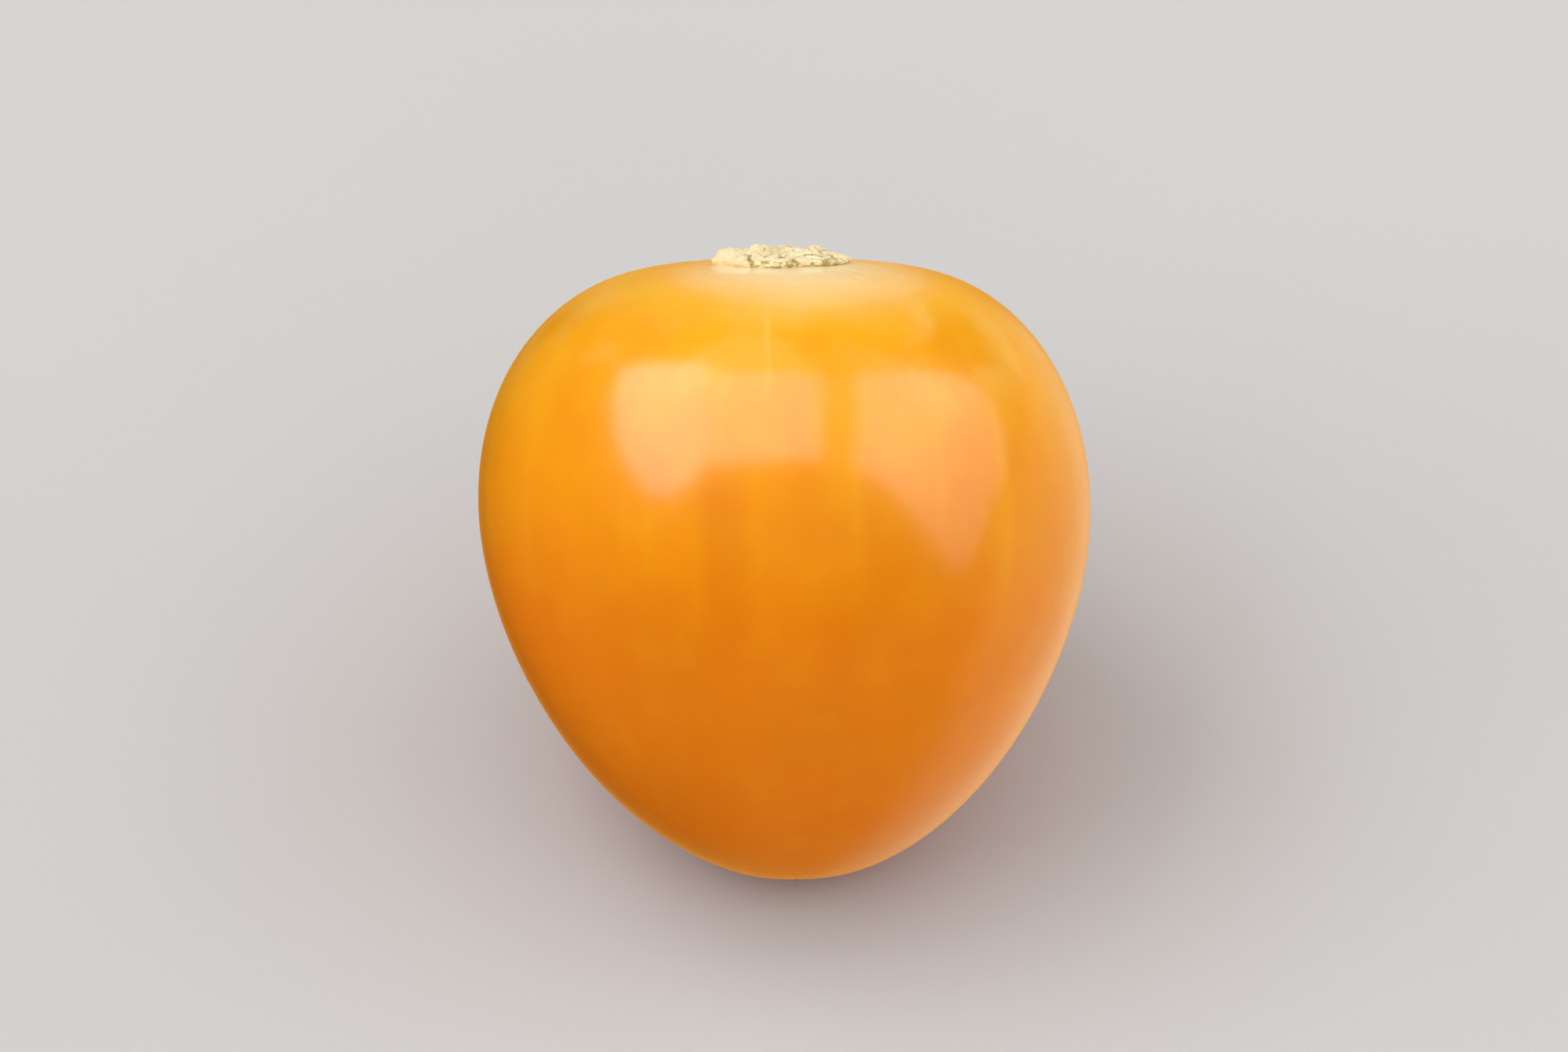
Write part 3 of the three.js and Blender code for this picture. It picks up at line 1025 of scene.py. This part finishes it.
def make_fibres(material):
    dice = random.Random(12)
    tubes = []
    for index in range(FIBRES):
        if index < STRANDS:
            hump = PAD_HUMPS[2 * index]
            x, y = hump[0] + dice.uniform(-0.15, 0.15), hump[1] + dice.uniform(-0.15, 0.15)
            rise, run = dice.uniform(*STRAND_RISE), dice.uniform(*STRAND_RUN)
        else:
            turn = dice.uniform(0, FULL_TURN)
            distance = dice.uniform(*FIBRE_DISTANCE) * PAD_RADIUS
            x, y = distance * math.cos(turn), distance * math.sin(turn)
            rise, run = dice.uniform(*FIBRE_RISE), dice.uniform(*FIBRE_RUN)
        heading = math.atan2(y, x) + dice.uniform(-1.1, 1.1)
        curl = dice.uniform(-0.2, 0.2)
        base = pad_top(x, y) - 0.05
        path = []
        for step in np.linspace(0, 1, FIBRE_STEPS):
            bend = heading + curl * step * 3
            arc = rise * math.sin(step * math.pi * 0.62)
            px, py = x + run * step * math.cos(bend), y + run * step * math.sin(bend)
            path.append((px, py, max(base + arc, crown_height(px, py) + 0.03)))
        tubes.append(tube(np.array(path), dice.uniform(0.03, 0.05), dice.uniform(0.012, 0.025)))
    vertices, faces = joined(tubes)
    return make_piece("scar_fibres", to_row(vertices), faces, material, np.full(len(vertices), 0.15))


# Flakes of cork round the pad's edge. The spans are for their place along the edge, distance as a share
# of the pad's reach, heading, length, width, thickness, lift and shape.
FLAKES = 11
FLAKE_RINGS = 7
FLAKE_SEGMENTS = 22
FLAKE_PLACE = (-0.3, 0.3)
FLAKE_DISTANCE = (0.76, 0.83)
FLAKE_SPANS = [(-0.3, 0.3), (0.40, 0.58), (0.4, 0.8), (0.09, 0.14), (0.0, 0.05), (0, 20)]
FLAKE_CLEARANCE = 0.05


def flake(x, y, heading, length, width, thickness, lift, seed):
    """A thin torn flake of cork that lies on the crown, with its outer edge lifted a little."""
    turn = turns(FLAKE_SEGMENTS)
    edge = 1 + 0.16 * np.cos(3 * turn + seed) + 0.1 * np.cos(5 * turn + 2 * seed)
    edge = edge + 0.06 * np.cos(8 * turn - seed)
    layers = []
    for side, share in disc_rings(FLAKE_RINGS, -1):
        along = share * edge * np.cos(turn) * length / 2
        across = share * edge * np.sin(turn) * width / 2
        px = x + along * math.cos(heading) - across * math.sin(heading)
        py = y + along * math.sin(heading) + across * math.cos(heading)
        ramp = np.clip(along / length + 0.5, 0, 1)
        crumble = 0.025 * noise_at(points_at(px, py, side * 0.3), 0.13, seed)
        half = thickness / 2 * math.sqrt(max(0.0, 1 - (share * 0.93) ** 4))
        base = height_at(np.hypot(px, py), True) + FLAKE_CLEARANCE + lift * ramp**2
        layers.append(points_at(px, py, base + side * half + crumble))
    middle = crown_height(x, y) + FLAKE_CLEARANCE + lift * 0.25
    return closed_grid(np.array(layers), [x, y, middle - thickness / 2], [x, y, middle + thickness / 2])


def make_flakes(material):
    """Scalloped flakes round the pad's edge, where the husk tore away."""
    dice = random.Random(5)
    flakes = []
    for index in range(FLAKES):
        turn = FULL_TURN * (index + dice.uniform(*FLAKE_PLACE)) / FLAKES
        x, y = place_on_pad(dice.uniform(*FLAKE_DISTANCE), turn)
        off_turn, *form = [dice.uniform(*span) for span in FLAKE_SPANS]
        flakes.append(flake(x, y, turn + off_turn, *form))
    vertices, faces = joined(flakes)
    dirt_and_shade_values = np.clip(0.15 + 0.3 * noise_at(vertices, 0.2, 3.0), 0, 1)
    return make_piece("scar_flakes", to_row(vertices), faces, material, dirt_and_shade_values)


# The dry style, in millimetres.
STYLE_SCAR_RINGS = 16
STYLE_SCAR_SEGMENTS = 90
STYLE_SCAR_LIFT = 0.005
STYLE_SCAR_HALF = 0.022
STYLE_SCAR_TIPS = (0.027, -0.037)


def make_style_scar(material):
    """The dry style at the blossom end: a small brown star round a stub."""
    turn = turns(STYLE_SCAR_SEGMENTS)
    star = 0.20 + 0.26 * (0.5 + 0.5 * np.cos(5 * turn + 0.8)) ** 2.2
    star = star * (1 + 0.12 * noise_at(level_direction(turn) * 3.0, 1.0, 2.0))
    middle = float(skin_point(np.array([0.0]), np.array([0.0]))[0][0])
    layers = []
    for side, share in disc_rings(STYLE_SCAR_RINGS, 1):
        radius = star * share
        x, y = middle + radius * np.cos(turn), radius * np.sin(turn)
        half = STYLE_SCAR_HALF * math.sqrt(max(0.0, 1 - (share * 0.95) ** 2)) + 0.004
        crumble = 0.015 * noise_at(points_at(x, y, side * 0.5), 0.1, 7.0) * (side < 0)
        stub = 0.01 * bump(radius, 0.12) * (side < 0)
        z = height_at(radius, False) + STYLE_SCAR_LIFT + side * half - crumble - stub
        layers.append(points_at(x, y, z))
    tip = float(height_at(0.0, False)) + STYLE_SCAR_LIFT
    poles = to_row([[middle, 0, tip + above] for above in STYLE_SCAR_TIPS])
    vertices, faces = closed_grid(to_row(np.array(layers)), *poles)
    return make_piece("style_scar", vertices, faces, material)


# Putting the berry together.
cork = cork_material()
fruit_skin = make_fruit_skin()
scar_pad = make_scar_pad(cork)
crumbs_by_nodes = crumb_tree()
scar_crumbs = make_crumbs("scar_crumbs", CRUMBS, crumbs_by_nodes, cork)
scar_grit = make_crumbs("scar_grit", GRIT, crumbs_by_nodes, cork)
scar_flakes = make_flakes(cork)
scar_fibres = make_fibres(cork)
style_scar = make_style_scar(dry_style_material())

dry_pieces = (scar_pad, scar_crumbs, scar_grit, scar_flakes, scar_fibres, style_scar)
for piece in (fruit_skin, *dry_pieces):
    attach(piece, "root")
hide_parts("berry")
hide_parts("stem_scar")


# Floor, light and camera. Far away the floor turns into the room's own tone, so that no edge shows.
ROOM_TONE = (0.645, 0.632, 0.618)
FLOOR_TONE = (0.50, 0.495, 0.485)
FLOOR_TONE_PALE = (0.515, 0.51, 0.50)
FLOOR_FADE = (0.25, 1.4)
FLOOR_RINGS = (0.05, 0.5, 2, 6.0)
FLOOR_SEGMENTS = 128
BLACK = (0.0, 0.0, 0.0)


def floor_material():
    material, tree, shader = new_material("pale_floor")
    material.cycles.emission_sampling = "NONE"
    where = object_coordinates(tree)
    body = mix_colours(tree, mottle_on(tree, where, 0.05, 0.2, 0.8), FLOOR_TONE, FLOOR_TONE_PALE)
    far = remap(tree, length_of(tree, where), *FLOOR_FADE)
    feed_all(
        tree, shader, Base_Color=mix_colours(tree, far, body, BLACK), Roughness=0.7, Specular_IOR_Level=0.0,
        Emission_Color=mix_colours(tree, far, BLACK, ROOM_TONE), Emission_Strength=1.0,
    )
    return material


def make_floor():
    turn = turns(FLOOR_SEGMENTS)
    rings = [ring_points(turn, radius, 0.0) for radius in FLOOR_RINGS]
    middle = len(FLOOR_RINGS) * FLOOR_SEGMENTS
    faces = []
    for segment in range(FLOOR_SEGMENTS):
        after = (segment + 1) % FLOOR_SEGMENTS
        faces.append((middle, segment, after))
        for low in range(0, middle - FLOOR_SEGMENTS, FLOOR_SEGMENTS):
            high = low + FLOOR_SEGMENTS
            faces.append((low + segment, high + segment, high + after, low + after))
    mesh = bpy.data.meshes.new("floor")
    mesh.from_pydata([tuple(v) for v in np.concatenate([*rings, [[0, 0, 0]]])], [], faces)
    mesh.materials.append(floor_material())
    floor = new_object("floor", mesh)
    floor.visible_glossy = False


BERRY_MIDDLE = Vector((0, 0, 9.7 * MM))
LIGHT_DISTANCE = 3.0

# The shine's windows: the directions of their corners from the berry.
LEFT_WINDOW = [
    (-0.70, 0.49, 0.49), (-0.34, 0.37, 0.86), (-0.40, -0.33, 0.85), (-0.51, -0.47, 0.72),
    (-0.63, -0.50, 0.58), (-0.73, -0.46, 0.49), (-0.82, -0.32, 0.47), (-0.87, -0.12, 0.47),
    (-0.86, 0.15, 0.50),
]
LEFT_LAMP = [
    (-0.70, 0.04, 0.71), (-0.66, 0.11, 0.75), (-0.59, 0.12, 0.80), (-0.55, 0.04, 0.84),
    (-0.57, -0.05, 0.82), (-0.65, -0.06, 0.76),
]
SKYLIGHT = [(-0.34, 0.26, 0.90), (0.20, 0.24, 0.95), (0.25, -0.44, 0.86), (-0.40, -0.44, 0.80)]
RIGHT_WINDOW = [
    (0.385, 0.24, 0.89), (0.72, 0.50, 0.46), (0.83, 0.46, 0.26), (0.975, 0.22, 0.10),
    (0.99, -0.11, 0.07), (0.94, -0.37, -0.03), (0.89, -0.46, 0.02), (0.82, -0.50, 0.28),
    (0.68, -0.46, 0.57), (0.45, -0.44, 0.78),
]
# Name, corners, colour, brightness, and distance as a share of the light's.
SHINE_WINDOWS = [
    ("left_window", LEFT_WINDOW, (1.0, 0.85, 1.16), 4.9, 1.0),
    ("left_lamp", LEFT_LAMP, (1.0, 0.88, 1.26), 7.0, 0.96),
    ("skylight", SKYLIGHT, (1.0, 0.88, 1.20), 3.6, 1.0),
    ("right_window", RIGHT_WINDOW, (1.0, 0.93, 1.12), 3.2, 1.0),
]
GLOW_FADE = (0.1 * LIGHT_DISTANCE, 0.75 * LIGHT_DISTANCE)

# Name, the way from the berry to it, the way across it, width and length at a distance of 1, brightness.
SOFT_BOXES = [
    ("left_soft_box", (-0.70, -0.05, 0.72), (-0.38, -0.94, -0.1), 1.4, 1.0, 2.0),
    ("overhead_soft_box", (0, 0.35, 0.94), (1, 0, 0), 1.3, 1.0, 0.85),
    ("front_soft_box", (0.05, -0.70, 0.72), (1, 0, 0), 1.2, 0.9, 0.95),
    ("right_soft_box", (0.92, 0.0, 0.48), (0, 1, 0), 1.5, 1.1, 1.22),
]


def glow_material(name, colour, brightness):
    """A glow that fades to half towards the bottom of its pane."""
    material, tree, glow = new_material(name, "ShaderNodeEmission")
    z = axes_of(tree, object_coordinates(tree))[2]
    strength = remap(tree, z, *GLOW_FADE, brightness * 0.5, brightness)
    feed_all(tree, glow, Color=(*colour, 1.0), Strength=strength)
    return material


def shine_window(name, corners, colour, brightness, distance):
    """A bright pane that only shows as a reflection."""
    ring = [Vector(corner).normalized() for corner in corners]
    middle = sum(ring, Vector()).normalized()
    points = [BERRY_MIDDLE + corner * LIGHT_DISTANCE * distance for corner in [*ring, middle]]
    count = len(ring)
    mesh = bpy.data.meshes.new(name)
    mesh.from_pydata(points, [], [(i, (i + 1) % count, count) for i in range(count)])
    mesh.materials.append(glow_material(name, colour, brightness))
    pane = new_object(name, mesh)
    for ray in ("camera", "diffuse", "shadow", "transmission"):
        setattr(pane, "visible_" + ray, False)


def soft_box(name, towards, across, width, length, brightness):
    """A soft box that lights the berry, and doesn't show in its shine."""
    towards = Vector(towards).normalized()
    across = Vector(across)
    across = (across - across.dot(towards) * towards).normalized()
    light = bpy.data.lights.new(name, "AREA")
    light.shape = "RECTANGLE"
    light.size = width * LIGHT_DISTANCE
    light.size_y = length * LIGHT_DISTANCE
    light.energy = brightness * light.size * light.size_y * math.pi
    turned = Matrix((across, towards.cross(across), towards)).transposed()
    box = new_object(name, light)
    box.matrix_world = Matrix.Translation(BERRY_MIDDLE + towards * LIGHT_DISTANCE) @ turned.to_4x4()
    box.visible_camera = False
    box.visible_glossy = False


# What the room shows to the shine, and to all other light.
SHINE_ABOVE = (0.15, 0.10, 0.02)
SHINE_UNDER = (0.72, 0.33, 0.06)
SHINE_UNDER_LEFT = (0.16, 0.06, 0.008)
SHINE_LOW_RIGHT = (1.05, 0.76, 0.44)
LOW_RIGHT = (0.76, 0.30, -0.58)
ROOM_LIGHT = (0.30, 0.30, 0.31)


def make_room():
    """A pale room. The shine shows it warm and dim, with a pale side low on the right."""
    room = bpy.data.worlds.new("pale_room")
    world, tree, background = fresh_tree(room, "ShaderNodeBackground", "ShaderNodeOutputWorld")
    where = add_node(tree, "ShaderNodeTexCoord").outputs["Generated"]
    x, _, z = axes_of(tree, where)
    to_right = vector_maths(tree, "DOT_PRODUCT", where, Vector(LOW_RIGHT).normalized())
    under = mix_colours(tree, remap(tree, x, -0.05, -0.40), SHINE_UNDER, SHINE_UNDER_LEFT)
    under = mix_colours(tree, remap(tree, to_right, 0.64, 0.90), under, SHINE_LOW_RIGHT)
    shine = mix_colours(tree, remap(tree, z, 0.06, -0.12), SHINE_ABOVE, under)
    path = add_node(tree, "ShaderNodeLightPath")
    colour = mix_colours(tree, path.outputs["Is Glossy Ray"], ROOM_LIGHT, shine)
    colour = mix_colours(tree, path.outputs["Is Camera Ray"], colour, ROOM_TONE)
    tree.links.new(colour, background.inputs["Color"])
    bpy.context.scene.world = world


CAMERA_ELEVATION = math.radians(46)
CAMERA_DISTANCE = 0.5
FRAME_WIDTH = 49.0 * MM
SENSOR_WIDTH = 36.0


def set_up_camera():
    data = bpy.data.cameras.new("camera")
    data.sensor_width = SENSOR_WIDTH
    data.lens = SENSOR_WIDTH * CAMERA_DISTANCE / FRAME_WIDTH
    data.clip_start = 0.01
    data.clip_end = 50.0
    camera = new_object("camera", data)
    away = Vector((0, -math.cos(CAMERA_ELEVATION), math.sin(CAMERA_ELEVATION)))
    camera.location = BERRY_MIDDLE + away * CAMERA_DISTANCE
    camera.rotation_euler = Euler((QUARTER_TURN - CAMERA_ELEVATION, 0, 0))
    bpy.context.scene.camera = camera


make_floor()
for window in SHINE_WINDOWS:
    shine_window(*window)
for box in SOFT_BOXES:
    soft_box(*box)
make_room()
bpy.context.scene.view_settings.view_transform = "Standard"
set_up_camera()
